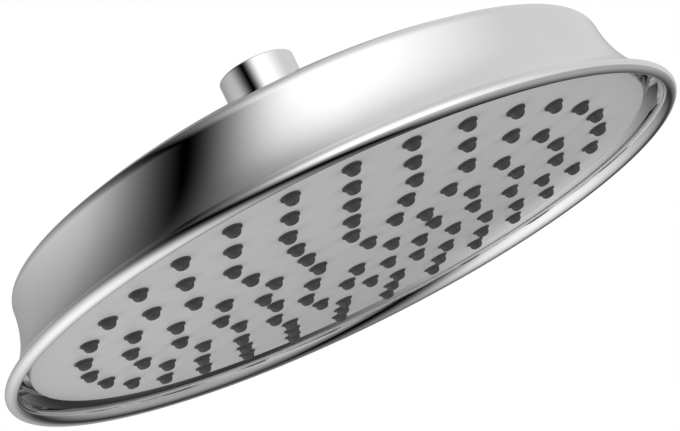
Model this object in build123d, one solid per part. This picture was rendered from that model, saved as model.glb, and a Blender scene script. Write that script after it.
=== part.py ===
from build123d import *
import math
import os

# Rain shower head, 254 mm across the rim, with a female G1/2 inlet.
# Millimetres. The origin is the middle of the inlet's mouth, and +Z points up, the way
# the shower arm leaves. The height of a place is measured up from the rim's lowest line,
# and the height of a small part, such as a nut, from its own foot.

os.makedirs("parts", exist_ok=True)

# Overall sizes
rim_diameter = 254.0

# Rim: a bead, round outside and elliptical inside, and a groove between it and the face
bead_radius = 2.35
bead_inner_width = 2.9
bead_inner_rise = 5.0
groove_wall = 1.2
rim_band = 10.35

# Bell wall, shoulder and crown of the housing. The wall's section is the first degrees
# (flare_turn) of a quarter ellipse that is flare_height high.
shell_wall = 2.5
wall_inset = 14.8
flare_height = 32.3
flare_turn = 65.1
shoulder_width = 9.6
shoulder_rise = 3.9
corner_round = 4.4
crown_rise = 10.5
seat_radius = 17.0

# Perforated face, domed downwards
face_edge_height = 6.0
face_dome = 5.4
face_thickness = 2.0
face_edge_round = 0.6
ledge_width = 1.65
rim_gasket_thickness = 0.8

# Nozzles: the number on each ring, counted from the middle. They and their holes are
# eight-sided, which keeps so many small bodies light.
ring_counts = [5, 12, 15, 18, 24, 30]
ring_phase = 277.6
first_ring_turn = 24.1
nozzle_margin = 4.65
brim_radius = 3.4
brim_thickness = 0.5
nozzle_radius = 2.6
nozzle_length = 2.8
nozzle_tip_radius = 1.6
nozzle_round = 1.1
nozzle_sides = 8
root_radius = 2.3
mat_thickness = 1.5

# Water chamber
cover_underside_height = 13.0
cover_thickness = 2.5
seal_wall_width = 4.8
seal_width = 2.0
seal_height = 2.2
rib_height = 6.0
rib_width = 2.0
rib_count = 8
hub_radius = 19.0
ring_rib_pitches = 4.9

# Screws of the water chamber
screw_radius = 1.5
screw_head_radius = 3.0
screw_head_height = 2.0
screw_length = 8.0
boss_radius = 3.4
rim_screw_count = 8
rim_screw_inset = 7.8
screw_wall_gap = 1.4
centre_screw_count = 4
centre_screw_pitches = 3.5
screw_seal_thickness = 0.6

# Neck, its nut and washer
neck_radius = 11.0
neck_bore_radius = 6.5
neck_flange_radius = 16.0
neck_flange_thickness = 2.0
neck_gasket_thickness = 1.0
neck_washer_thickness = 1.0
neck_washer_radius = 17.5
neck_nut_flats = 30.0
neck_nut_height = 5.0
neck_ring_width = 1.6
neck_ring_height = 1.8
neck_ring_rise = 0.9

# Inlet collar: thread bore above, socket for the neck below, washer and screen between them
collar_radius = 14.2
collar_round = 0.7
thread_radius = 9.32
thread_length = 11.4
relief_radius = 10.6
collar_web = 4.1
socket_depth = 10.0
collar_gasket_thickness = 1.0
washer_thickness = 2.5
washer_bore_radius = 6.2
screen_thickness = 0.6
screen_hole_side = 1.3
screen_pitch = 2.1

# Flow regulator in the neck's mouth
regulator_radius = 8.5
regulator_height = 4.5
flow_channel_radius = 4.4
flow_channel_half_width = 1.5
flow_channel_depth = 2.8
flow_ring_width = 2.2
flow_ring_height = 2.0
flow_hole_radius = 0.8
flow_hole_count = 8

# Clearances, and how far a cut runs past the face that it opens
fit_clearance = 0.1
seat_clearance = 0.05
loose_clearance = 0.3
overcut = 1.0

# Sizes that follow from the ones above
rim_radius = rim_diameter / 2
bead_centre_radius = rim_radius - bead_radius
wall_top_radius = rim_radius - wall_inset
flare_angle = math.radians(flare_turn)
corner_height = 2 * bead_radius + flare_height * math.sin(flare_angle)
shoulder_inner_radius = wall_top_radius - shoulder_width
shoulder_inner_height = corner_height + shoulder_rise
seat_height = shoulder_inner_height + crown_rise
face_radius = rim_radius - rim_band
rim_gasket_bottom = face_edge_height + face_thickness + seat_clearance
ledge_height = rim_gasket_bottom + rim_gasket_thickness + seat_clearance
ledge_radius = face_radius - ledge_width
rim_screw_radius = face_radius - rim_screw_inset
cover_radius = rim_screw_radius + boss_radius
seal_wall_outer = rim_screw_radius - screw_wall_gap
seal_wall_inner = seal_wall_outer - seal_wall_width
seal_line_radius = (seal_wall_outer + seal_wall_inner) / 2
outer_ring_radius = seal_wall_inner - nozzle_margin
ring_pitch = outer_ring_radius / len(ring_counts)
centre_screw_radius = centre_screw_pitches * ring_pitch
ring_rib_radius = ring_rib_pitches * ring_pitch
dome_radius = (face_radius ** 2 + face_dome ** 2) / (2 * face_dome)
dome_foot_height = face_edge_height - face_dome
dome_centre_height = dome_foot_height + dome_radius
mat_rise = face_thickness + seat_clearance
cover_top_height = cover_underside_height + cover_thickness
hub_top_height = cover_top_height + rib_height
collar_foot_height = seat_height + collar_gasket_thickness
web_bottom_height = collar_foot_height + socket_depth
web_top_height = web_bottom_height + collar_web
washer_bottom_height = web_top_height + screen_thickness
thread_end_height = washer_bottom_height + washer_thickness
head_height = thread_end_height + thread_length
neck_top_height = web_bottom_height - loose_clearance
socket_radius = neck_radius + fit_clearance


def height(above_rim):
    """Z of a height given above the rim's lowest line."""
    return above_rim - head_height


def turned(outline):
    """Solid of revolution about Z of a closed outline in radius and Z."""
    return revolve(Plane.XZ * make_face(outline), Axis.Z)


def turned_points(*points):
    """Solid of revolution of a polygon of (radius, height above the rim) points."""
    corners = [(radius, height(level)) for radius, level in points]
    return turned(Polyline(*corners, close=True))


def ring(inner, outer, bottom, top):
    """Flat ring, or a disc when the inner radius is 0."""
    return turned_points((inner, bottom), (outer, bottom), (outer, top), (inner, top))


def square_ring(middle, width, bottom, top):
    """Sealing ring of square section around a middle radius."""
    return ring(middle - width / 2, middle + width / 2, bottom, top)


def on_circle(count, radius, phase=0.0):
    """Places evenly spaced on a circle, as (x, y) pairs."""
    angles = [math.radians(phase + 360.0 * index / count) for index in range(count)]
    return [(radius * math.cos(angle), radius * math.sin(angle)) for angle in angles]


def upright(radius, bottom, top, places):
    """Round bars standing at the given places."""
    length = top - bottom
    bar = Cylinder(radius, length, align=(Align.CENTER, Align.CENTER, Align.MIN))
    return [Pos(x, y, height(bottom)) * bar for x, y in places]


def axis_arc(start, end):
    """Arc from one (radius, height) point to another, with its centre on the axis."""
    rise = end[1] - start[1]
    centre = (end[0] ** 2 + end[1] ** 2 - start[0] ** 2 - start[1] ** 2) / (2 * rise)
    radius = math.hypot(start[0], start[1] - centre)
    side = math.copysign(1.0, start[1] - centre)
    middle = (start[0] + end[0]) / 2
    middle_height = centre + side * math.sqrt(radius ** 2 - middle ** 2)
    return ThreePointArc(
        (start[0], height(start[1])),
        (middle, height(middle_height)),
        (end[0], height(end[1])),
    )


def rise_line(radius, start, end):
    """Upright line at a radius between two heights."""
    return Line((radius, height(start)), (radius, height(end)))


def dome_height(radius, above=0.0):
    """Height of the face's underside at a radius, or of a parallel dome above it."""
    return dome_centre_height - math.sqrt((dome_radius - above) ** 2 - radius ** 2)


def dome_slab(inner, outer, bottom, top):
    """Ring between two parallel domes, given by how far they lie above the face's underside."""
    return turned([
        axis_arc((inner, dome_height(inner, bottom)), (outer, dome_height(outer, bottom))),
        rise_line(outer, dome_height(outer, bottom), dome_height(outer, top)),
        axis_arc((outer, dome_height(outer, top)), (inner, dome_height(inner, top))),
        rise_line(inner, dome_height(inner, top), dome_height(inner, bottom)),
    ])


def nozzle_places():
    """Places of all nozzles, ring by ring, on the face's underside and square to its dome."""
    places = []
    for index, count in enumerate(ring_counts):
        radius = ring_pitch * (index + 1)
        lean = math.degrees(math.asin(radius / dome_radius))
        foot = Pos(radius, 0, height(dome_height(radius))) * Rot(0, -lean, 0)
        phase = ring_phase + (first_ring_turn if index == 0 else 0.0)
        places += [Rot(0, 0, phase + 360.0 * step / count) * foot for step in range(count)]
    return places


rim_screw_places = on_circle(rim_screw_count, rim_screw_radius)
centre_screw_places = on_circle(centre_screw_count, centre_screw_radius)


def housing_shell():
    """Bell: crown, sloped shoulder, wall flaring down like a trumpet, bead, groove and ledge."""
    flare_width = (bead_centre_radius - wall_top_radius) / (1 - math.cos(flare_angle))
    flare_centre = wall_top_radius + flare_width
    shoulder_slope = math.atan2(shoulder_rise, shoulder_width)
    outer_wall = EllipticalCenterArc(
        (flare_centre, height(corner_height)),
        flare_width,
        flare_height,
        start_angle=180,
        arc_size=flare_turn,
    )
    bead = CenterArc((bead_centre_radius, height(bead_radius)), bead_radius, 90, -180)
    inner_bead = EllipticalCenterArc(
        (bead_centre_radius, height(bead_inner_rise)),
        bead_inner_width,
        bead_inner_rise,
        start_angle=180,
        arc_size=90,
    )
    groove_radius = bead_centre_radius - bead_inner_width
    groove_width = flare_width + groove_wall
    groove_height = flare_height + groove_wall
    groove_start = math.acos((flare_centre - groove_radius) / groove_width)
    groove_end = math.asin((corner_height - ledge_height) / groove_height)
    groove_foot = corner_height - groove_height * math.sin(groove_start)
    groove_end_radius = flare_centre - groove_width * math.cos(groove_end)
    groove = EllipticalCenterArc(
        (flare_centre, height(corner_height)),
        groove_width,
        groove_height,
        start_angle=180 + math.degrees(groove_end),
        arc_size=math.degrees(groove_start - groove_end),
    )
    inner_width = flare_width + shell_wall
    inner_height = flare_height + shell_wall
    ledge_angle = math.acos((flare_centre - ledge_radius) / inner_width)
    ledge_top = corner_height - inner_height * math.sin(ledge_angle)
    inner_corner_drop = shell_wall * math.tan((math.pi / 2 - shoulder_slope) / 2)
    inner_corner_angle = math.asin(inner_corner_drop / inner_height)
    inner_corner = (
        flare_centre - inner_width * math.cos(inner_corner_angle),
        corner_height - inner_corner_drop,
    )
    inner_wall = EllipticalCenterArc(
        (flare_centre, height(corner_height)),
        inner_width,
        inner_height,
        start_angle=180 + math.degrees(inner_corner_angle),
        arc_size=math.degrees(ledge_angle - inner_corner_angle),
    )
    inner_shoulder = (
        shoulder_inner_radius - shell_wall * math.sin(shoulder_slope),
        shoulder_inner_height - shell_wall * math.cos(shoulder_slope),
    )
    hole = neck_radius + loose_clearance
    outline = [
        Line((hole, height(seat_height)), (seat_radius, height(seat_height))),
        axis_arc((seat_radius, seat_height), (shoulder_inner_radius, shoulder_inner_height)),
        Line(
            (shoulder_inner_radius, height(shoulder_inner_height)),
            (wall_top_radius, height(corner_height)),
        ),
        outer_wall,
        bead,
        inner_bead,
        rise_line(groove_radius, bead_inner_rise, groove_foot),
        groove,
        Line((groove_end_radius, height(ledge_height)), (ledge_radius, height(ledge_height))),
        rise_line(ledge_radius, ledge_height, ledge_top),
        inner_wall,
        Line(
            (inner_corner[0], height(inner_corner[1])),
            (inner_shoulder[0], height(inner_shoulder[1])),
        ),
        axis_arc(inner_shoulder, (seat_radius, seat_height - shell_wall)),
        Line(
            (seat_radius, height(seat_height - shell_wall)),
            (hole, height(seat_height - shell_wall)),
        ),
        rise_line(hole, seat_height - shell_wall, seat_height),
    ]
    section = make_face(outline)
    corner = section.vertices().sort_by_distance((wall_top_radius, height(corner_height), 0))[0]
    section = fillet(corner, corner_round)
    return revolve(Plane.XZ * section, Axis.Z)


def face_plate():
    """Domed perforated face with its seal wall, screw bosses and the groove of the seal."""
    plate = dome_slab(0, face_radius, 0, face_thickness)
    outer_edge = plate.edges().sort_by_distance((face_radius, 0, height(face_edge_height)))[0]
    plate = fillet(outer_edge, face_edge_round)
    top = cover_underside_height
    wall_bottom = dome_height(seal_wall_inner, face_thickness / 2)
    centre_bottom = dome_height(centre_screw_radius, face_thickness / 2)
    plate += ring(seal_wall_inner, seal_wall_outer, wall_bottom, top)
    plate += upright(boss_radius, wall_bottom, top, rim_screw_places)
    plate += upright(boss_radius, centre_bottom, top, centre_screw_places)
    groove_width = seal_width + 2 * fit_clearance
    groove_bottom = top - seal_height
    plate -= square_ring(seal_line_radius, groove_width, groove_bottom, top + overcut)
    pilot_bottom = cover_top_height - screw_length - fit_clearance
    pilot_places = rim_screw_places + centre_screw_places
    plate -= upright(screw_radius + seat_clearance, pilot_bottom, top + overcut, pilot_places)
    hole_outline = RegularPolygon(root_radius + fit_clearance, nozzle_sides)
    hole = Pos(0, 0, -overcut) * extrude(hole_outline, face_thickness + 2 * overcut)
    return plate - [place * hole for place in nozzle_places()]


def nozzle():
    """Nozzle hanging from the level of the face's underside: root, brim and rounded body."""
    brim_bottom = -seat_clearance - brim_thickness
    tip = -seat_clearance - nozzle_length
    body = loft(
        [
            Pos(0, 0, tip) * RegularPolygon(nozzle_tip_radius, nozzle_sides),
            Pos(0, 0, tip + nozzle_round) * RegularPolygon(nozzle_radius, nozzle_sides),
            Pos(0, 0, brim_bottom) * RegularPolygon(nozzle_radius, nozzle_sides),
        ],
        ruled=True,
    )
    brim = extrude(RegularPolygon(brim_radius, nozzle_sides), brim_thickness)
    root_length = mat_rise + mat_thickness / 2 - brim_bottom
    root = extrude(RegularPolygon(root_radius, nozzle_sides), root_length)
    return body + Pos(0, 0, brim_bottom) * brim + Pos(0, 0, brim_bottom) * root


def nozzle_mat():
    """Rubber sheet behind the face with every nozzle moulded on it, square to the dome."""
    mat = dome_slab(0, seal_wall_inner - loose_clearance, mat_rise, mat_rise + mat_thickness)
    hole_radius = boss_radius + loose_clearance
    mat -= upright(hole_radius, dome_foot_height, cover_underside_height, centre_screw_places)
    body = nozzle()
    return mat + [place * body for place in nozzle_places()]


def chamber_seal():
    """Sealing ring in the groove of the face plate's seal wall."""
    bottom = cover_underside_height - seal_height
    return square_ring(seal_line_radius, seal_width, bottom, cover_underside_height)


def chamber_cover():
    """Back of the water chamber: disc, hub, ribs, and screw holes."""
    cover = ring(0, cover_radius, cover_underside_height, cover_top_height)
    cover += ring(0, hub_radius, cover_top_height, hub_top_height)
    for radius in (ring_rib_radius, seal_wall_inner):
        cover += ring(radius, radius + rib_width, cover_top_height, hub_top_height)
    rib_length = seal_wall_inner - hub_radius + rib_width
    rib = Box(rib_length, rib_width, rib_height, align=(Align.MIN, Align.CENTER, Align.MIN))
    rib = Pos(hub_radius - rib_width / 2, 0, height(cover_top_height)) * rib
    cover += [Rot(0, 0, 360.0 * (index + 0.5) / rib_count) * rib for index in range(rib_count)]
    low = cover_underside_height - overcut
    screw_places = rim_screw_places + centre_screw_places
    cover -= upright(screw_radius + fit_clearance, low, cover_top_height + overcut, screw_places)
    return cover - ring(0, neck_radius + fit_clearance, low, hub_top_height + overcut)


def screws(places, lift):
    """Pan-head screws standing in the cover, their heads raised by the given lift."""
    under_head = cover_top_height + lift + seat_clearance
    shank = upright(screw_radius, under_head - screw_length, under_head, places)
    heads = upright(screw_head_radius, under_head, under_head + screw_head_height, places)
    return Compound(children=[bar + head for bar, head in zip(shank, heads)])


def screw_seals():
    """Rubber washers under the heads of the centre screws."""
    top = cover_top_height + screw_seal_thickness
    outer = upright(screw_head_radius, cover_top_height, top, centre_screw_places)
    inner = upright(screw_radius + fit_clearance, cover_top_height, top, centre_screw_places)
    return Compound(children=[disc - hole for disc, hole in zip(outer, inner)])


def inlet_neck():
    """Brass tube: flange inside the water chamber, ring groove and regulator seat on top."""
    flange_top = cover_underside_height - neck_gasket_thickness
    flange_bottom = flange_top - neck_flange_thickness
    seat_bottom = neck_top_height - regulator_height - fit_clearance
    neck = turned_points(
        (neck_bore_radius, flange_bottom),
        (neck_flange_radius, flange_bottom),
        (neck_flange_radius, flange_top),
        (neck_radius, flange_top),
        (neck_radius, neck_top_height),
        (regulator_radius + fit_clearance, neck_top_height),
        (regulator_radius + fit_clearance, seat_bottom),
        (neck_bore_radius, seat_bottom),
    )
    groove_bottom = collar_foot_height + neck_ring_rise - fit_clearance
    groove_top = groove_bottom + neck_ring_height + 2 * fit_clearance
    floor = neck_radius - neck_ring_width
    return neck - ring(floor, neck_radius + overcut, groove_bottom, groove_top)


def neck_ring():
    """Sealing ring between the neck and the collar's socket."""
    inner = neck_radius - neck_ring_width + seat_clearance
    outer = socket_radius - seat_clearance
    bottom = collar_foot_height + neck_ring_rise
    return ring(inner, outer, bottom, bottom + neck_ring_height)


def neck_gasket():
    """Flat gasket between the neck's flange and the chamber cover."""
    top = cover_underside_height
    inner = neck_radius + fit_clearance
    return ring(inner, neck_flange_radius, top - neck_gasket_thickness, top)


def neck_washer():
    """Thin steel washer on the cover's hub."""
    inner = neck_radius + fit_clearance
    return ring(inner, neck_washer_radius, hub_top_height, hub_top_height + neck_washer_thickness)


def neck_nut():
    """Hexagon nut on the neck, with its corners turned down."""
    bottom = hub_top_height + neck_washer_thickness
    top = bottom + neck_nut_height
    flat = neck_nut_flats / 2
    corner = neck_nut_flats / math.sqrt(3)
    bevel = (corner - flat) / 2
    prism = extrude(RegularPolygon(flat, 6, major_radius=False), neck_nut_height)
    turned_down = turned_points(
        (neck_radius + seat_clearance, bottom),
        (flat, bottom),
        (corner, bottom + bevel),
        (corner, top - bevel),
        (flat, top),
        (neck_radius + seat_clearance, top),
    )
    return (Pos(0, 0, height(bottom)) * prism) & turned_down


def collar_gasket():
    """Flat gasket between the collar's foot and the crown."""
    outer = collar_radius - loose_clearance
    return ring(socket_radius, outer, seat_height, collar_foot_height)


def inlet_collar():
    """Round collar: thread bore and its relief, waterway through the web, socket for the neck."""
    collar = turned_points(
        (thread_radius, head_height),
        (collar_radius, head_height),
        (collar_radius, collar_foot_height),
        (socket_radius, collar_foot_height),
        (socket_radius, web_bottom_height),
        (neck_bore_radius, web_bottom_height),
        (neck_bore_radius, web_top_height),
        (relief_radius, web_top_height),
        (relief_radius, thread_end_height),
        (thread_radius, thread_end_height),
    )
    top_edge = collar.edges().sort_by_distance((collar_radius, 0, 0))[0]
    return fillet(top_edge, collar_round)


def inlet_screen():
    """Flat filter screen with square holes in rows, at the bottom of the thread bore."""
    disc = ring(0, thread_radius - fit_clearance, web_top_height, washer_bottom_height)
    reach = washer_bore_radius - screen_hole_side / math.sqrt(2)
    steps = int(reach / screen_pitch)
    rows = [index * screen_pitch for index in range(-steps, steps + 1)]
    places = [(x, y) for x in rows for y in rows if math.hypot(x, y) <= reach]
    hole = Box(screen_hole_side, screen_hole_side, screen_thickness + 2 * overcut)
    middle = height(web_top_height + screen_thickness / 2)
    return disc - [Pos(x, y, middle) * hole for x, y in places]


def inlet_washer():
    """Rubber washer in the thread's relief, on which the shower arm seals."""
    outer = relief_radius - fit_clearance
    return ring(washer_bore_radius, outer, washer_bottom_height, thread_end_height)


def flow_regulator():
    """Plastic disc with a round channel and holes through the channel's floor."""
    bottom = neck_top_height - regulator_height
    floor = neck_top_height - flow_channel_depth
    disc = ring(0, regulator_radius, bottom, neck_top_height)
    inner = flow_channel_radius - flow_channel_half_width
    outer = flow_channel_radius + flow_channel_half_width
    disc -= ring(inner, outer, floor, neck_top_height + overcut)
    holes = on_circle(flow_hole_count, flow_channel_radius)
    return disc - upright(flow_hole_radius, bottom - overcut, floor + overcut, holes)


def flow_ring():
    """Elastic ring in the regulator's channel."""
    bottom = neck_top_height - flow_channel_depth + seat_clearance
    return square_ring(flow_channel_radius, flow_ring_width, bottom, bottom + flow_ring_height)


def rim_gasket():
    """Thin gasket between the face's edge and the ledge inside the housing."""
    inner = ledge_radius + fit_clearance
    outer = face_radius - fit_clearance
    return ring(inner, outer, rim_gasket_bottom, rim_gasket_bottom + rim_gasket_thickness)


nodes = {
    "housing_shell": housing_shell(),
    "rim_gasket": rim_gasket(),
    "face_plate": face_plate(),
    "nozzle_mat": nozzle_mat(),
    "chamber_seal": chamber_seal(),
    "chamber_cover": chamber_cover(),
    "rim_screws": screws(rim_screw_places, 0.0),
    "centre_screws": screws(centre_screw_places, screw_seal_thickness),
    "screw_seals": screw_seals(),
    "inlet_neck": inlet_neck(),
    "neck_gasket": neck_gasket(),
    "neck_washer": neck_washer(),
    "neck_nut": neck_nut(),
    "neck_ring": neck_ring(),
    "collar_gasket": collar_gasket(),
    "inlet_collar": inlet_collar(),
    "inlet_washer": inlet_washer(),
    "inlet_screen": inlet_screen(),
    "flow_regulator": flow_regulator(),
    "flow_ring": flow_ring(),
}

for name, shape in nodes.items():
    shape.label = name
    export_step(shape, f"parts/{name}.step")
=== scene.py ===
import math

import bmesh
import bpy
import numpy as np
from mathutils import Matrix, Vector


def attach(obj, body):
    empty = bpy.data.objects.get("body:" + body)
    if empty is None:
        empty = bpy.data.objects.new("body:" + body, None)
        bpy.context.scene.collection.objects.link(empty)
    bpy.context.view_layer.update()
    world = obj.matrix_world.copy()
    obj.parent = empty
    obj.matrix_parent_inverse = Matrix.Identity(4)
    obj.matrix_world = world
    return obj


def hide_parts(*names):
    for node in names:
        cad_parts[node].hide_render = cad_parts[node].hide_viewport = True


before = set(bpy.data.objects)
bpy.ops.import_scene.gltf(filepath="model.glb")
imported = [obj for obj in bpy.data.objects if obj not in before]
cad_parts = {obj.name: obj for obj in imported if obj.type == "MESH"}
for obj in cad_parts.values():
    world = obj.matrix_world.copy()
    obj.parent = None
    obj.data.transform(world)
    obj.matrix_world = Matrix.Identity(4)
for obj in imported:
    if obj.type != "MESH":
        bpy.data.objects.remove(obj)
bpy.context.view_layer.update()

# Rain shower head, 254 mm across the rim, with a female G1/2 inlet. Sizes are in metres and
# angles in degrees. The origin is the middle of the inlet's mouth, and +Z points up, the way
# the shower arm leaves. The height of a place is measured up from the rim's lowest line.

MM = 0.001

# Rim: a bead, round outside and elliptical inside, and a groove between it and the face
RIM_RADIUS = 127.0 * MM
RIM_BAND = 10.35 * MM
BEAD_RADIUS = 2.35 * MM
BEAD_INNER_WIDTH = 2.9 * MM
BEAD_INNER_RISE = 5.0 * MM
GROOVE_WALL = 1.2 * MM

# Bell wall, shoulder and crown of the housing. The wall's section is the first degrees
# (FLARE_TURN) of a quarter ellipse that is FLARE_HEIGHT high.
SHELL_WALL = 2.5 * MM
WALL_INSET = 14.8 * MM
FLARE_HEIGHT = 32.3 * MM
FLARE_TURN = 65.1
SHOULDER_WIDTH = 9.6 * MM
SHOULDER_RISE = 3.9 * MM
CORNER_ROUND = 4.4 * MM
CROWN_RISE = 10.5 * MM
SEAT_RADIUS = 17.0 * MM
NECK_HOLE_RADIUS = 11.3 * MM
COLLAR_GASKET_THICKNESS = 1.0 * MM
COLLAR_LENGTH = 28.6 * MM

# Perforated face, domed downwards, with a grooved seal wall on its back
FACE_EDGE_HEIGHT = 6.0 * MM
FACE_DOME = 5.4 * MM
FACE_THICKNESS = 2.0 * MM
FACE_EDGE_ROUND = 0.6 * MM
LEDGE_WIDTH = 1.65 * MM
LEDGE_HEIGHT = 8.9 * MM
SEAL_WALL_INSET = 14.0 * MM
SEAL_WALL_WIDTH = 4.8 * MM
SEAL_WALL_TOP = 13.0 * MM
SEAL_GROOVE_WIDTH = 2.2 * MM
SEAL_GROOVE_DEPTH = 2.2 * MM

# Nozzles: the number on each ring, counted from the middle. A nozzle's body tapers by a power
# of a cosine (NOZZLE_FULLNESS) over NOZZLE_TURN degrees.
RING_COUNTS = (5, 12, 15, 18, 24, 30)
OUTER_RING_RADIUS = 98.0 * MM
RING_PHASE = 277.6
FIRST_RING_TURN = 24.1
BRIM_RADIUS = 3.4 * MM
BRIM_THICKNESS = 0.5 * MM
BRIM_EDGE = 0.125 * MM
NOZZLE_RADIUS = 2.6 * MM
NOZZLE_LENGTH = 2.8 * MM
NOZZLE_TURN = 78.0
NOZZLE_FULLNESS = 0.55
ROOT_RADIUS = 2.3 * MM
ORIFICE_RADIUS = 0.45 * MM
ORIFICE_CHAMFER = 0.135 * MM
ORIFICE_DEPTH = 1.35 * MM
MAT_THICKNESS = 1.5 * MM
MAT_CLEARANCE = 0.3 * MM
SEAT_GAP = 0.05 * MM

# Inlet collar: thread above, socket for the neck below, and the web between them
COLLAR_RADIUS = 14.2 * MM
COLLAR_ROUND = 0.7 * MM
THREAD_MINOR_RADIUS = 9.32 * MM
THREAD_MAJOR_RADIUS = 10.48 * MM
THREAD_PITCH = 1.814 * MM
THREAD_LENGTH = 11.4 * MM
THREAD_STEEPNESS = 1.35
RELIEF_RADIUS = 10.6 * MM
WEB_TOP = -14.5 * MM
WEB_BOTTOM = -18.6 * MM
WATERWAY_RADIUS = 6.5 * MM
SOCKET_RADIUS = 11.1 * MM

# Sizes that follow from the others
WALL_TOP_RADIUS = RIM_RADIUS - WALL_INSET
CORNER_HEIGHT = 2 * BEAD_RADIUS + FLARE_HEIGHT * math.sin(math.radians(FLARE_TURN))
HEAD_HEIGHT = CORNER_HEIGHT + SHOULDER_RISE + CROWN_RISE + COLLAR_GASKET_THICKNESS + COLLAR_LENGTH
FACE_RADIUS = RIM_RADIUS - RIM_BAND
LEDGE_RADIUS = FACE_RADIUS - LEDGE_WIDTH
SEAL_WALL_INNER = FACE_RADIUS - SEAL_WALL_INSET
DOME_RADIUS = (FACE_RADIUS ** 2 + FACE_DOME ** 2) / (2 * FACE_DOME)
RING_PITCH = OUTER_RING_RADIUS / len(RING_COUNTS)

# Columns round each turned piece, and the distance under which two points are one
BELL_COLUMNS = 384
FACE_COLUMNS = 384
NOZZLE_COLUMNS = 28
MAT_COLUMNS = 96
COLLAR_COLUMNS = 192
THREAD_ROWS = 126
SAME_POINT = 1e-7


def level(above_rim):
    """Z of a height above the rim's lowest line."""
    return above_rim - HEAD_HEIGHT


# Curves of a section, each an array of (radius, z) rows


def straight(start, end, count=2):
    """Straight run: start + (end - start) * t."""
    t = np.linspace(0.0, 1.0, count)[:, None]
    return np.asarray(start) + (np.asarray(end) - np.asarray(start)) * t


def oval(centre, half_width, half_height, first, last, count):
    """Part of an ellipse: centre + (half_width * cos a, half_height * sin a), a in degrees."""
    a = np.radians(np.linspace(first, last, count))
    return np.stack((centre[0] + half_width * np.cos(a), centre[1] + half_height * np.sin(a)), 1)


def dome(start, end, count):
    """Shallow circular arc centred on the axis, through two (radius, z) points."""
    rise = end[1] - start[1]
    middle = (end[0] ** 2 + end[1] ** 2 - start[0] ** 2 - start[1] ** 2) / (2 * rise)
    size = math.hypot(start[0], start[1] - middle)
    side = math.copysign(1.0, start[1] - middle)
    radius = np.linspace(start[0], end[0], count)
    return np.stack((radius, middle + side * np.sqrt(size ** 2 - radius ** 2)), 1)


def rounding(before, corner, after, radius, count):
    """Rounded corner: a cubic curve tangent to both arms of the corner, close to a circular arc."""
    before, corner, after = (np.asarray(point, float) for point in (before, corner, after))
    arm_in = (before - corner) / np.linalg.norm(before - corner)
    arm_out = (after - corner) / np.linalg.norm(after - corner)
    turn = math.pi - math.acos(float(np.clip(arm_in @ arm_out, -1, 1)))
    reach = radius * math.tan(turn / 2)
    handle = reach - radius * math.tan(turn / 4) * 4 / 3
    points = [corner + arm_in * reach, corner + arm_in * handle,
              corner + arm_out * handle, corner + arm_out * reach]
    t = np.linspace(0.0, 1.0, count)[:, None]
    weights = ((1 - t) ** 3, 3 * t * (1 - t) ** 2, 3 * t ** 2 * (1 - t), t ** 3)
    return sum(weight * point for weight, point in zip(weights, points))


def join(*runs):
    """One section out of several runs, with points that repeat taken out."""
    points = np.concatenate(runs)
    step = np.linalg.norm(np.diff(points, axis=0), axis=1)
    return points[np.concatenate(([True], step > SAME_POINT))]


# Meshes


def add_mesh(name, points, faces, crease=30.0, second=None):
    """Object from point and face arrays, its faces turned outwards and smooth up to the crease angle.

    Faces marked in second, an array of truths, take the second material.
    """
    mesh = bpy.data.meshes.new(name)
    mesh.from_pydata(points.tolist(), [], faces.tolist())
    if second is not None:
        mesh.polygons.foreach_set("material_index", second.astype(int))
    work = bmesh.new()
    work.from_mesh(mesh)
    bmesh.ops.remove_doubles(work, verts=work.verts, dist=SAME_POINT)
    bmesh.ops.recalc_face_normals(work, faces=work.faces)
    work.to_mesh(mesh)
    work.free()
    mesh.shade_smooth()
    mesh.set_sharp_from_angle(angle=math.radians(crease))
    mesh.update()
    piece = bpy.data.objects.new(name, mesh)
    bpy.context.scene.collection.objects.link(piece)
    return piece


def grid_faces(rows, columns, close_rows):
    """Quads of a rows by columns grid that closes round its columns, and round its rows if asked."""
    last = rows if close_rows else rows - 1
    i, j = np.meshgrid(np.arange(last), np.arange(columns), indexing="ij")
    i, j = i.ravel(), j.ravel()
    below, beside = (i + 1) % rows, (j + 1) % columns
    corners = (i * columns + j, i * columns + beside, below * columns + beside, below * columns + j)
    return np.stack(corners, 1)


def turned_points(radius, z, columns):
    """Points (radius * cos a, radius * sin a, z), row by row, from arrays with a row for each point."""
    a = np.arange(columns) * 2 * np.pi / columns
    return np.stack((radius * np.cos(a), radius * np.sin(a), z + 0 * a), 2).reshape(-1, 3)


def lathe_points(section, columns):
    """Points (r cos a, r sin a, z) of a section turned about Z, row by row of the section."""
    return turned_points(section[:, 0:1], section[:, 1:2], columns)


def lathe(name, section, columns, closed=True):
    """Solid or surface of revolution about Z: the section's points carried round the axis."""
    return add_mesh(name, lathe_points(section, columns), grid_faces(len(section), columns, closed))


# Housing

BEAD_CENTRE = RIM_RADIUS - BEAD_RADIUS
FLARE_WIDTH = (BEAD_CENTRE - WALL_TOP_RADIUS) / (1 - math.cos(math.radians(FLARE_TURN)))
FLARE_CENTRE = (WALL_TOP_RADIUS + FLARE_WIDTH, level(CORNER_HEIGHT))
SHOULDER_INNER = (WALL_TOP_RADIUS - SHOULDER_WIDTH, level(CORNER_HEIGHT + SHOULDER_RISE))
SEAT_Z = SHOULDER_INNER[1] + CROWN_RISE


def flare(depth, first, last, count):
    """Part of the wall's ellipse, or of one that lies deeper inside it, in radians down from level."""
    return oval(FLARE_CENTRE, FLARE_WIDTH + depth, FLARE_HEIGHT + depth,
                180 + math.degrees(first), 180 + math.degrees(last), count)


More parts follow.
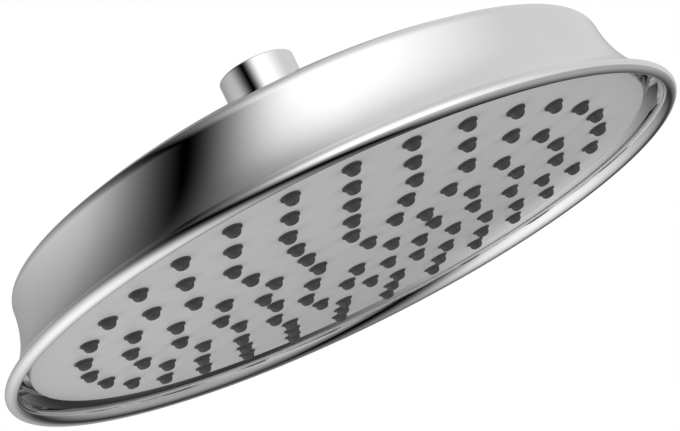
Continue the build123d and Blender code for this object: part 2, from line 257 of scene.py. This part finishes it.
def housing_section():
    """Bell: crown, shoulder, trumpet wall, bead, groove and ledge, then back along the inside.

    The crown is a circular arc. The wall, the groove and the inner wall are parts of ellipses
    about one centre. The bead is half a circle, and its inner side a quarter of an ellipse.
    """
    corner = (WALL_TOP_RADIUS, level(CORNER_HEIGHT))
    slope = math.atan2(SHOULDER_RISE, SHOULDER_WIDTH)
    corner_turn = CORNER_ROUND * math.tan(math.radians(45) - slope / 2) / FLARE_HEIGHT
    wall = flare(0.0, corner_turn, math.radians(FLARE_TURN), 60)

    bead_middle, bead_top = (BEAD_CENTRE, level(BEAD_RADIUS)), (BEAD_CENTRE, level(BEAD_INNER_RISE))
    bead = oval(bead_middle, BEAD_RADIUS, BEAD_RADIUS, 90, -90, 33)
    inner_bead = oval(bead_top, BEAD_INNER_WIDTH, BEAD_INNER_RISE, 270, 180, 33)

    bead_reach = FLARE_CENTRE[0] - BEAD_CENTRE + BEAD_INNER_WIDTH
    groove_start = math.acos(bead_reach / (FLARE_WIDTH + GROOVE_WALL))
    groove_end = math.asin((CORNER_HEIGHT - LEDGE_HEIGHT) / (FLARE_HEIGHT + GROOVE_WALL))
    groove = flare(GROOVE_WALL, groove_start, groove_end, 16)

    drop = SHELL_WALL * math.tan((math.pi / 2 - slope) / 2)
    ledge_turn = math.acos((FLARE_CENTRE[0] - LEDGE_RADIUS) / (FLARE_WIDTH + SHELL_WALL))
    inner_wall = flare(SHELL_WALL, ledge_turn, math.asin(drop / (FLARE_HEIGHT + SHELL_WALL)), 14)
    inner_shoulder = (SHOULDER_INNER[0] - SHELL_WALL * math.sin(slope),
                      SHOULDER_INNER[1] - SHELL_WALL * math.cos(slope))
    return join(
        straight((NECK_HOLE_RADIUS, SEAT_Z - SHELL_WALL), (NECK_HOLE_RADIUS, SEAT_Z)),
        straight((NECK_HOLE_RADIUS, SEAT_Z), (SEAT_RADIUS, SEAT_Z), 3),
        dome((SEAT_RADIUS, SEAT_Z), SHOULDER_INNER, 32),
        rounding(SHOULDER_INNER, corner, wall[0], CORNER_ROUND, 13),
        wall,
        bead,
        inner_bead,
        groove,
        straight((LEDGE_RADIUS, level(LEDGE_HEIGHT)), inner_wall[0]),
        inner_wall,
        dome(inner_shoulder, (SEAT_RADIUS, SEAT_Z - SHELL_WALL), 14),
    )


housing = lathe("bell_housing", housing_section(), BELL_COLUMNS)
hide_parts("housing_shell")
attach(housing, "root")

# Spray face


def face_z(radius, above=0.0):
    """Z of the face's underside at a radius, or of a parallel dome above it."""
    centre = level(FACE_EDGE_HEIGHT - FACE_DOME) + DOME_RADIUS
    return centre - np.sqrt((DOME_RADIUS - above) ** 2 - radius ** 2)


def face_run(inner, outer, above, count):
    """Run of a dome parallel to the face's underside between two radii."""
    radius = np.linspace(inner, outer, count)
    return np.stack((radius, face_z(radius, above)), 1)


def face_section():
    """Plate between two parallel domes, with a rounded outer edge and the grooved seal wall."""
    edge_start = FACE_RADIUS - 4 * FACE_EDGE_ROUND
    before = (edge_start, face_z(edge_start))
    edge = (FACE_RADIUS, face_z(FACE_RADIUS))
    after = (FACE_RADIUS, face_z(FACE_RADIUS, FACE_THICKNESS))
    wall_outer = SEAL_WALL_INNER + SEAL_WALL_WIDTH
    middle = SEAL_WALL_INNER + SEAL_WALL_WIDTH / 2
    top, groove = level(SEAL_WALL_TOP), level(SEAL_WALL_TOP - SEAL_GROOVE_DEPTH)
    groove_outer, groove_inner = middle + SEAL_GROOVE_WIDTH / 2, middle - SEAL_GROOVE_WIDTH / 2
    return join(
        face_run(0, edge_start, 0, 48),
        rounding(before, edge, after, FACE_EDGE_ROUND, 8),
        face_run(FACE_RADIUS, wall_outer, FACE_THICKNESS, 6),
        straight((wall_outer, top), (groove_outer, top)),
        straight((groove_outer, groove), (groove_inner, groove)),
        straight((groove_inner, top), (SEAL_WALL_INNER, top)),
        face_run(SEAL_WALL_INNER, 0, FACE_THICKNESS, 24),
    )


face = lathe("spray_face", face_section(), FACE_COLUMNS, closed=False)
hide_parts("face_plate")
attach(face, "root")

# Nozzles

ORIFICE_ROWS = 2


def nozzle_section():
    """Nozzle about its own axis, z = 0 on the face: root, thin brim, rounded body, and the orifice.

    The body's radius is NOZZLE_RADIUS * cos a to the power NOZZLE_FULLNESS, and its depth goes
    as sin a. The last ORIFICE_ROWS rows are the orifice's wall and its end.
    """
    brim_top, brim_bottom = -SEAT_GAP, -SEAT_GAP - BRIM_THICKNESS
    tip = -SEAT_GAP - NOZZLE_LENGTH
    a = np.radians(np.linspace(0, NOZZLE_TURN, 11))
    body_radius = NOZZLE_RADIUS * np.cos(a) ** NOZZLE_FULLNESS
    body_z = brim_bottom + (tip - brim_bottom) * np.sin(a) / np.sin(a[-1])
    brim_middle = (BRIM_RADIUS - BRIM_EDGE, (brim_top + brim_bottom) / 2)
    root_top = FACE_THICKNESS + SEAT_GAP + MAT_THICKNESS / 2
    orifice_end = tip + ORIFICE_DEPTH
    return join(
        straight((0, root_top), (ROOT_RADIUS, root_top)),
        straight((ROOT_RADIUS, brim_top), (BRIM_RADIUS - BRIM_EDGE, brim_top)),
        oval(brim_middle, BRIM_EDGE, BRIM_THICKNESS / 2, 90, -90, 7),
        straight((BRIM_RADIUS - BRIM_EDGE, brim_bottom), (NOZZLE_RADIUS, brim_bottom)),
        np.stack((body_radius, body_z), 1),
        straight((ORIFICE_RADIUS + ORIFICE_CHAMFER, tip), (ORIFICE_RADIUS, tip + ORIFICE_CHAMFER)),
        straight((ORIFICE_RADIUS, orifice_end), (0, orifice_end)),
    )


def nozzle_places():
    """Azimuth, lean, radius and foot of every nozzle: rings of equal pitch, square to the dome."""
    ring = np.repeat(np.arange(1, len(RING_COUNTS) + 1), RING_COUNTS)
    step = np.concatenate([np.arange(count) / count for count in RING_COUNTS])
    azimuth = np.radians(RING_PHASE + 360 * step + np.where(ring == 1, FIRST_RING_TURN, 0.0))
    radius = RING_PITCH * ring
    return azimuth, np.arcsin(radius / DOME_RADIUS), radius, face_z(radius)


def nozzle_arrays():
    """Points and faces of all nozzles: x, z of one nozzle leant by the dome, set out, turned round Z.

    The third array marks the faces of the orifices, which take a near-black material as painted shade.
    """
    section = nozzle_section()
    one = lathe_points(section, NOZZLE_COLUMNS)
    faces = grid_faces(len(section), NOZZLE_COLUMNS, False)
    azimuth, lean, radius, foot = (array[:, None] for array in nozzle_places())
    x, y, z = one[:, 0], one[:, 1], one[:, 2]
    out = radius + x * np.cos(lean) - z * np.sin(lean)
    up = foot + x * np.sin(lean) + z * np.cos(lean)
    across = y + 0 * out
    points = np.stack((out * np.cos(azimuth) - across * np.sin(azimuth),
                       out * np.sin(azimuth) + across * np.cos(azimuth), up), 2)
    offset = np.arange(len(azimuth))[:, None, None] * len(one)
    orifice_shade_faces = np.arange(len(faces)) >= len(faces) - ORIFICE_ROWS * NOZZLE_COLUMNS
    return points.reshape(-1, 3), (faces[None] + offset).reshape(-1, 4), np.tile(orifice_shade_faces, len(azimuth))


def mat_section():
    """Sheet of even thickness behind the face, parallel to its dome."""
    low = FACE_THICKNESS + SEAT_GAP
    outer = SEAL_WALL_INNER - MAT_CLEARANCE
    return join(face_run(0, outer, low, 32), face_run(outer, 0, low + MAT_THICKNESS, 32))


def rubber_mat(name):
    """The sheet and its nozzles as one mesh, with the orifices in the second material, a near-black that
    is painted shade inside them.
    """
    nozzle_points, nozzle_faces, orifice_shade_faces = nozzle_arrays()
    sheet_points = lathe_points(mat_section(), MAT_COLUMNS)
    sheet_faces = grid_faces(len(mat_section()), MAT_COLUMNS, False) + len(nozzle_points)
    return add_mesh(name, np.concatenate((nozzle_points, sheet_points)),
                    np.concatenate((nozzle_faces, sheet_faces)),
                    second=np.concatenate((orifice_shade_faces, np.zeros(len(sheet_faces), bool))))


nozzles = rubber_mat("rubber_nozzles")
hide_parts("nozzle_mat")
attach(nozzles, "root")

# Inlet collar


def thread_radius(z, a):
    """Radius of the internal thread: a rounded wave between its crests and roots, one pitch a turn."""
    wave = 0.5 + 0.5 * np.cos(2 * np.pi * (z / THREAD_PITCH) - a)
    wave = np.clip((wave - 0.5) * THREAD_STEEPNESS + 0.5, 0.0, 1.0)
    lead_in = np.clip(-z / THREAD_PITCH, 0.0, 1.0)
    crest = THREAD_MAJOR_RADIUS + (THREAD_MINOR_RADIUS - THREAD_MAJOR_RADIUS) * lead_in
    return crest + (THREAD_MAJOR_RADIUS - crest) * wave


def collar_mesh(name):
    """Collar: its outer section, then the thread's helix row by row, relief, web and lower socket."""
    a = np.arange(COLLAR_COLUMNS) * 2 * np.pi / COLLAR_COLUMNS
    foot = -COLLAR_LENGTH
    outside = join(
        straight((SOCKET_RADIUS, WEB_BOTTOM), (SOCKET_RADIUS, foot)),
        rounding((SOCKET_RADIUS, foot), (COLLAR_RADIUS, foot), (COLLAR_RADIUS, 0), COLLAR_ROUND / 3, 5),
        rounding((COLLAR_RADIUS, foot), (COLLAR_RADIUS, 0), (THREAD_MINOR_RADIUS, 0), COLLAR_ROUND, 9),
    )
    bore_z = np.linspace(0, -THREAD_LENGTH, THREAD_ROWS)
    inside = join(
        straight((RELIEF_RADIUS, -THREAD_LENGTH), (RELIEF_RADIUS, WEB_TOP)),
        straight((WATERWAY_RADIUS, WEB_TOP), (WATERWAY_RADIUS, WEB_BOTTOM)),
    )
    radius = np.concatenate((outside[:, 0:1] + 0 * a, thread_radius(bore_z[:, None], a),
                             inside[:, 0:1] + 0 * a))
    z = np.concatenate((outside[:, 1], bore_z, inside[:, 1]))[:, None]
    return add_mesh(name, turned_points(radius, z, COLLAR_COLUMNS),
                    grid_faces(len(radius), COLLAR_COLUMNS, True))


collar = collar_mesh("threaded_collar")
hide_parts("inlet_collar")
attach(collar, "root")

# Materials

# Most values of a noise texture lie between these two
NOISE_LOW, NOISE_HIGH = 0.3, 0.7
PATCH_DETAIL = 3.0
GRAIN_DETAIL = 4.0
SURFACE_IOR = 1.5


def new_material(name):
    """Material with an empty Principled surface; returns it, its node tree and the shader."""
    material = bpy.data.materials.new(name)
    material.use_nodes = True
    return material, material.node_tree, material.node_tree.nodes["Principled BSDF"]


def noise(tree, scale, detail, stretch=None):
    """Noise over Object coordinates in metres; scale is waves a metre, stretch squeezes each axis."""
    place = tree.nodes.new("ShaderNodeTexCoord").outputs["Object"]
    if stretch:
        mapping = tree.nodes.new("ShaderNodeMapping")
        mapping.inputs["Scale"].default_value = stretch
        tree.links.new(place, mapping.inputs["Vector"])
        place = mapping.outputs["Vector"]
    texture = tree.nodes.new("ShaderNodeTexNoise")
    texture.inputs["Scale"].default_value = scale
    texture.inputs["Detail"].default_value = detail
    tree.links.new(place, texture.inputs["Vector"])
    return texture.outputs["Fac"]


def spread(tree, value, low, high):
    """The middle of a noise value spread over the range from low to high."""
    ramp = tree.nodes.new("ShaderNodeMapRange")
    for name, limit in (("From Min", NOISE_LOW), ("From Max", NOISE_HIGH),
                        ("To Min", low), ("To Max", high)):
        ramp.inputs[name].default_value = limit
    tree.links.new(value, ramp.inputs["Value"])
    return ramp.outputs["Result"]


def bump(tree, value, height):
    """Normal of a bump of that height in metres."""
    node = tree.nodes.new("ShaderNodeBump")
    node.inputs["Strength"].default_value = 1.0
    node.inputs["Distance"].default_value = height
    tree.links.new(value, node.inputs["Height"])
    return node.outputs["Normal"]


def tint(tree, value, dark, light):
    """Colour that runs from dark to light with a noise value."""
    mix = tree.nodes.new("ShaderNodeMix")
    mix.data_type = "RGBA"
    mix.inputs["A"].default_value = (*dark, 1)
    mix.inputs["B"].default_value = (*light, 1)
    tree.links.new(spread(tree, value, 0.0, 1.0), mix.inputs["Factor"])
    return mix.outputs["Result"]


def finish_material(name, dark, light, metallic, rough, patch, grain, height, stretch=None):
    """Surface whose colour drifts in patches, and whose roughness follows a fine grain of small height.

    Patch and grain are waves a metre.
    """
    material, tree, shader = new_material(name)
    shader.inputs["Metallic"].default_value = metallic
    shader.inputs["IOR"].default_value = SURFACE_IOR
    patches = noise(tree, patch, PATCH_DETAIL)
    fine = noise(tree, grain, GRAIN_DETAIL, stretch)
    tree.links.new(tint(tree, patches, dark, light), shader.inputs["Base Color"])
    tree.links.new(spread(tree, fine, *rough), shader.inputs["Roughness"])
    tree.links.new(bump(tree, fine, height), shader.inputs["Normal"])
    return material


CHROME = finish_material(
    "polished_chrome", dark=(0.82, 0.82, 0.82), light=(0.85, 0.85, 0.85), metallic=1.0,
    rough=(0.015, 0.04), patch=40, grain=900, height=0.0001 * MM)
SATIN = finish_material(
    "satin_grey_plastic", dark=(0.69, 0.69, 0.695), light=(0.72, 0.72, 0.725), metallic=0.0,
    rough=(0.28, 0.36), patch=60, grain=2600, height=0.004 * MM)
SILICONE = finish_material(
    "dark_silicone", dark=(0.055, 0.055, 0.057), light=(0.07, 0.07, 0.073), metallic=0.0,
    rough=(0.5, 0.65), patch=250, grain=3000, height=0.01 * MM)
# Black rubber of the hidden seals. The nozzles' orifices take it too, as painted shade inside the holes.
SEAL_AND_ORIFICE_SHADE = finish_material(
    "black_seal_rubber_and_painted_orifice_shade", dark=(0.012, 0.012, 0.012), light=(0.022, 0.022, 0.022), metallic=0.0,
    rough=(0.6, 0.8), patch=200, grain=2500, height=0.01 * MM)
DARK_PLASTIC = finish_material(
    "dark_moulded_plastic", dark=(0.03, 0.03, 0.032), light=(0.045, 0.045, 0.047), metallic=0.0,
    rough=(0.45, 0.6), patch=80, grain=1800, height=0.01 * MM)
PALE_PLASTIC = finish_material(
    "off_white_plastic", dark=(0.62, 0.62, 0.58), light=(0.7, 0.7, 0.67), metallic=0.0,
    rough=(0.35, 0.5), patch=120, grain=1500, height=0.005 * MM)
BRASS = finish_material(
    "turned_brass", dark=(0.62, 0.43, 0.17), light=(0.72, 0.53, 0.25), metallic=1.0,
    rough=(0.2, 0.34), patch=60, grain=500, height=0.002 * MM, stretch=(1, 1, 12))
STEEL = finish_material(
    "bright_steel", dark=(0.52, 0.52, 0.53), light=(0.62, 0.62, 0.63), metallic=1.0,
    rough=(0.2, 0.32), patch=80, grain=700, height=0.002 * MM, stretch=(1, 1, 8))


def dress(piece, *materials):
    """Materials of a piece, in the order of its faces' material numbers."""
    piece.data.materials.clear()
    for material in materials:
        piece.data.materials.append(material)


dress(housing, CHROME)
dress(collar, CHROME)
dress(face, SATIN)
# The orifices' wall and end are silicone like the rest, but take the near-black seal material as painted
# shade in the holes.
dress(nozzles, SILICONE, SEAL_AND_ORIFICE_SHADE)
for hidden_material, names in (
    (SEAL_AND_ORIFICE_SHADE, ("rim_gasket", "chamber_seal", "screw_seals", "neck_gasket", "neck_ring",
            "collar_gasket", "inlet_washer", "flow_ring")),
    (DARK_PLASTIC, ("chamber_cover",)),
    (PALE_PLASTIC, ("flow_regulator",)),
    (BRASS, ("inlet_neck", "neck_nut")),
    (STEEL, ("rim_screws", "centre_screws", "neck_washer", "inlet_screen")),
):
    for name in names:
        dress(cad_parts[name], hidden_material)

# Floor: far below the head, so that a camera under the rim still sees the face, and wide enough
# to reach the horizon. It glows a little for the camera alone, which lifts it towards white.

FLOOR_Z = -2.2
FLOOR_SIZE = 60.0
FLOOR_COLOUR = (0.86, 0.86, 0.86, 1)
FLOOR_ROUGHNESS = 0.9
FLOOR_GLOW = 0.3
WHITE = (1, 1, 1, 1)


def shader_math(tree, operation, first, second):
    """Sum of two sockets or numbers by an operation."""
    node = tree.nodes.new("ShaderNodeMath")
    node.operation = operation
    for socket, value in zip(node.inputs, (first, second)):
        if isinstance(value, bpy.types.NodeSocket):
            tree.links.new(value, socket)
        else:
            socket.default_value = value
    return node.outputs["Value"]


def pale_floor():
    """Matt plane that glows for camera rays."""
    bpy.ops.mesh.primitive_plane_add(size=FLOOR_SIZE, location=(0, 0, FLOOR_Z))
    floor = bpy.context.object
    floor.name = "floor"
    material, tree, shader = new_material("pale_floor")
    shader.inputs["Base Color"].default_value = FLOOR_COLOUR
    shader.inputs["Roughness"].default_value = FLOOR_ROUGHNESS
    shader.inputs["Emission Color"].default_value = WHITE
    camera_ray = tree.nodes.new("ShaderNodeLightPath").outputs["Is Camera Ray"]
    glow = shader_math(tree, "MULTIPLY", camera_ray, FLOOR_GLOW)
    tree.links.new(glow, shader.inputs["Emission Strength"])
    dress(floor, material)
    floor.visible_glossy = False


pale_floor()

# World: white where the camera, a glossy or a clear surface looks at it, and a plain soft light
# for the rest

WORLD_LIGHT = (0.62, 0.62, 0.63, 1)


def studio_world():
    """World whose colour is chosen by the kind of ray."""
    world = bpy.data.worlds.new("studio")
    bpy.context.scene.world = world
    world.use_nodes = True
    tree = world.node_tree
    path = tree.nodes.new("ShaderNodeLightPath")
    looked_at = path.outputs["Is Camera Ray"]
    for name in ("Is Glossy Ray", "Is Transmission Ray"):
        looked_at = shader_math(tree, "MAXIMUM", looked_at, path.outputs[name])
    mix = tree.nodes.new("ShaderNodeMix")
    mix.data_type = "RGBA"
    mix.inputs["A"].default_value = WORLD_LIGHT
    mix.inputs["B"].default_value = WHITE
    tree.links.new(looked_at, mix.inputs["Factor"])
    tree.links.new(mix.outputs["Result"], tree.nodes["Background"].inputs["Color"])


studio_world()

# Light tent: a sphere close round the object, seen only as a reflection. A dark band runs round
# the tent, near a great circle about an axis, and is thicker on two sides. The side of the band
# that holds the axis is called its inside. Both sides have an even light with soft round patches
# on it, and the outside is darker below the horizon than above it. An edge or a patch rises from
# nothing at the angle dark to its size at the angle full. The angle is measured from the axis, or
# from the patch's middle, which is given as an azimuth and an elevation.

TENT_RADIUS = 0.5
TENT_AXIS = {"azimuth": 170.0, "elevation": -19.5}
INSIDE_LIGHT = 0.39
OUTSIDE_LIGHT = 0.72
INNER_EDGE = {"dark": 90.0, "full": 47.5}
OUTER_EDGE = {"dark": 78.0, "full": 128.0, "size": OUTSIDE_LIGHT}
SIDE_EDGE = {"dark": 81.0, "full": 112.0}
SHARP_EDGE = {"dark": 84.0, "full": 87.0, "size": 0.011}
THICKER_INWARDS = {"azimuth": 245.0, "elevation": 15.5, "dark": 104.5, "full": 4.0, "size": 11.6}
THICKER_OUTWARDS = {"azimuth": 273.0, "elevation": -59.0, "dark": 43.5, "full": 14.0, "size": 9.7}
LOW_PATCH = {"azimuth": 187.5, "elevation": -33.0, "dark": 77.5, "full": -3.0, "size": 0.74}
SIDE_PATCH = {"azimuth": 286.5, "elevation": 13.5, "dark": 74.0, "full": -5.0, "size": 0.73}
BACK_PATCH = {"azimuth": 92.0, "elevation": 29.0, "dark": 33.0, "full": 25.0, "size": 0.22}
BELOW_HORIZON = 0.59
SKY = {"azimuth": 0.0, "elevation": 90.0, "dark": 103.5, "full": 100.5, "size": 1.0 - BELOW_HORIZON}


def tent_angle(tree, direction, azimuth, elevation):
    """Angle between the direction and a fixed one, in degrees."""
    a, e = math.radians(azimuth), math.radians(elevation)
    dot = tree.nodes.new("ShaderNodeVectorMath")
    dot.operation = "DOT_PRODUCT"
    dot.inputs[1].default_value = (math.cos(e) * math.cos(a), math.cos(e) * math.sin(a), math.sin(e))
    tree.links.new(direction, dot.inputs[0])
    turn = shader_math(tree, "ARCCOSINE", dot.outputs["Value"], 0.0)
    return shader_math(tree, "MULTIPLY", turn, math.degrees(1.0))


def tent_fade(tree, angle, dark, full, size=1.0):
    """Smooth step of an angle: 0 at the dark angle, and the given size at the full one."""
    ramp = tree.nodes.new("ShaderNodeMapRange")
    ramp.interpolation_type = "SMOOTHSTEP"
    for name, value in (("From Min", dark), ("From Max", full), ("To Min", 0.0), ("To Max", size)):
        ramp.inputs[name].default_value = value
    tree.links.new(angle, ramp.inputs["Value"])
    return ramp.outputs["Result"]


def tent_patch(tree, direction, azimuth, elevation, dark, full, size):
    """Round soft patch about a direction."""
    return tent_fade(tree, tent_angle(tree, direction, azimuth, elevation), dark, full, size)


def tent_light(tree):
    """The tent's light in a direction, as a socket: the sum of its five parts."""
    unit = tree.nodes.new("ShaderNodeVectorMath")
    unit.operation = "NORMALIZE"
    tree.links.new(tree.nodes.new("ShaderNodeTexCoord").outputs["Object"], unit.inputs[0])
    direction = unit.outputs["Vector"]

    from_axis = tent_angle(tree, direction, **TENT_AXIS)
    outwards = tent_patch(tree, direction, **THICKER_OUTWARDS)
    from_inside = shader_math(tree, "ADD", from_axis, tent_patch(tree, direction, **THICKER_INWARDS))
    from_outside = shader_math(tree, "SUBTRACT", from_axis, outwards)
    horizon = shader_math(tree, "ADD", tent_patch(tree, direction, **SKY), BELOW_HORIZON)

    low = shader_math(tree, "ADD", tent_patch(tree, direction, **LOW_PATCH), INSIDE_LIGHT)
    inside = shader_math(tree, "MULTIPLY", low, tent_fade(tree, from_inside, **INNER_EDGE))
    outside = shader_math(tree, "MULTIPLY", tent_fade(tree, from_outside, **OUTER_EDGE), horizon)
    side = tent_patch(tree, direction, **SIDE_PATCH)
    side = shader_math(tree, "MULTIPLY", side, tent_fade(tree, from_outside, **SIDE_EDGE))
    side = shader_math(tree, "MULTIPLY", side, horizon)
    sharp = shader_math(tree, "MULTIPLY", outwards, tent_fade(tree, from_outside, **SHARP_EDGE))
    total = tent_patch(tree, direction, **BACK_PATCH)
    for light in (inside, outside, side, sharp):
        total = shader_math(tree, "ADD", total, light)
    return total


def light_tent():
    """Sphere whose inside shows the tent's light, for glossy rays alone."""
    bpy.ops.mesh.primitive_uv_sphere_add(segments=64, ring_count=32, radius=TENT_RADIUS)
    tent = bpy.context.object
    tent.name = "light_tent"
    material, tree, surface = new_material("tent_light")
    tree.nodes.remove(surface)
    glow = tree.nodes.new("ShaderNodeEmission")
    tree.links.new(tent_light(tree), glow.inputs["Strength"])
    tree.links.new(glow.outputs["Emission"], tree.nodes["Material Output"].inputs["Surface"])
    dress(tent, material)
    for ray in ("camera", "diffuse", "transmission", "volume_scatter", "shadow"):
        setattr(tent, "visible_" + ray, False)


light_tent()

# Lamps: one above on the left, and three below, which light the face and its nozzles


def soft_lamp(name, size, power, place, aim_z):
    """Square area lamp at a place, turned towards a height on the axis."""
    data = bpy.data.lights.new(name, "AREA")
    data.shape = "SQUARE"
    data.size = size
    data.energy = power
    lamp = bpy.data.objects.new(name, data)
    lamp.location = place
    lamp.rotation_euler = (Vector((0, 0, aim_z)) - Vector(place)).to_track_quat("-Z", "Y").to_euler()
    lamp.visible_glossy = False
    lamp.visible_camera = False
    bpy.context.scene.collection.objects.link(lamp)


soft_lamp("left_lamp", size=0.8, power=6.0, place=(-0.9, -0.7, 0.5), aim_z=-0.04)
soft_lamp("low_lamp", size=0.8, power=1.6, place=(0.3, -0.9, -0.36), aim_z=-0.06)
soft_lamp("west_lamp", size=0.3, power=0.8, place=(-0.7, 0.1, -0.36), aim_z=-0.08)
soft_lamp("east_lamp", size=0.3, power=0.8, place=(0.7, -0.1, -0.36), aim_z=-0.08)

# Camera: it hangs below the rim and looks up at the middle of the nozzle field, then pans and
# tilts a little, in radians, and rolls, in degrees. The focal length is in pixels of the photograph.

AIM_Z = -74.78 * MM
CAMERA_DISTANCE = 715.7 * MM
CAMERA_ELEVATION = 12.814
PAN = 0.0054
TILT = 0.0177
ROLL = -26.341
FOCAL_PIXELS = 2062.7
IMAGE_WIDTH = 680
SENSOR_WIDTH = 36.0
CLIP_START = 0.01


def camera_place():
    """Matrix of the camera: the columns are its right, its up and its back, then its spot."""
    elevation, roll = math.radians(CAMERA_ELEVATION), math.radians(ROLL)
    forward = Vector((0, math.cos(elevation), math.sin(elevation)))
    spot = Vector((0, 0, AIM_Z)) - forward * CAMERA_DISTANCE
    right = forward.cross(Vector((0, 0, 1))).normalized()
    forward = (forward + math.tan(PAN) * right + math.tan(TILT) * right.cross(forward)).normalized()
    right = forward.cross(Vector((0, 0, 1))).normalized()
    up = right.cross(forward)
    image_right = math.cos(roll) * right + math.sin(roll) * up
    image_up = math.cos(roll) * up - math.sin(roll) * right
    turn = Matrix((image_right, image_up, -forward)).transposed()
    return Matrix.Translation(spot) @ turn.to_4x4()


camera_data = bpy.data.cameras.new("camera")
camera_data.sensor_width = SENSOR_WIDTH
camera_data.lens = FOCAL_PIXELS / IMAGE_WIDTH * SENSOR_WIDTH
camera_data.clip_start = CLIP_START
camera = bpy.data.objects.new("camera", camera_data)
camera.matrix_world = camera_place()
bpy.context.scene.collection.objects.link(camera)
bpy.context.scene.camera = camera
bpy.context.scene.view_settings.view_transform = "Standard"
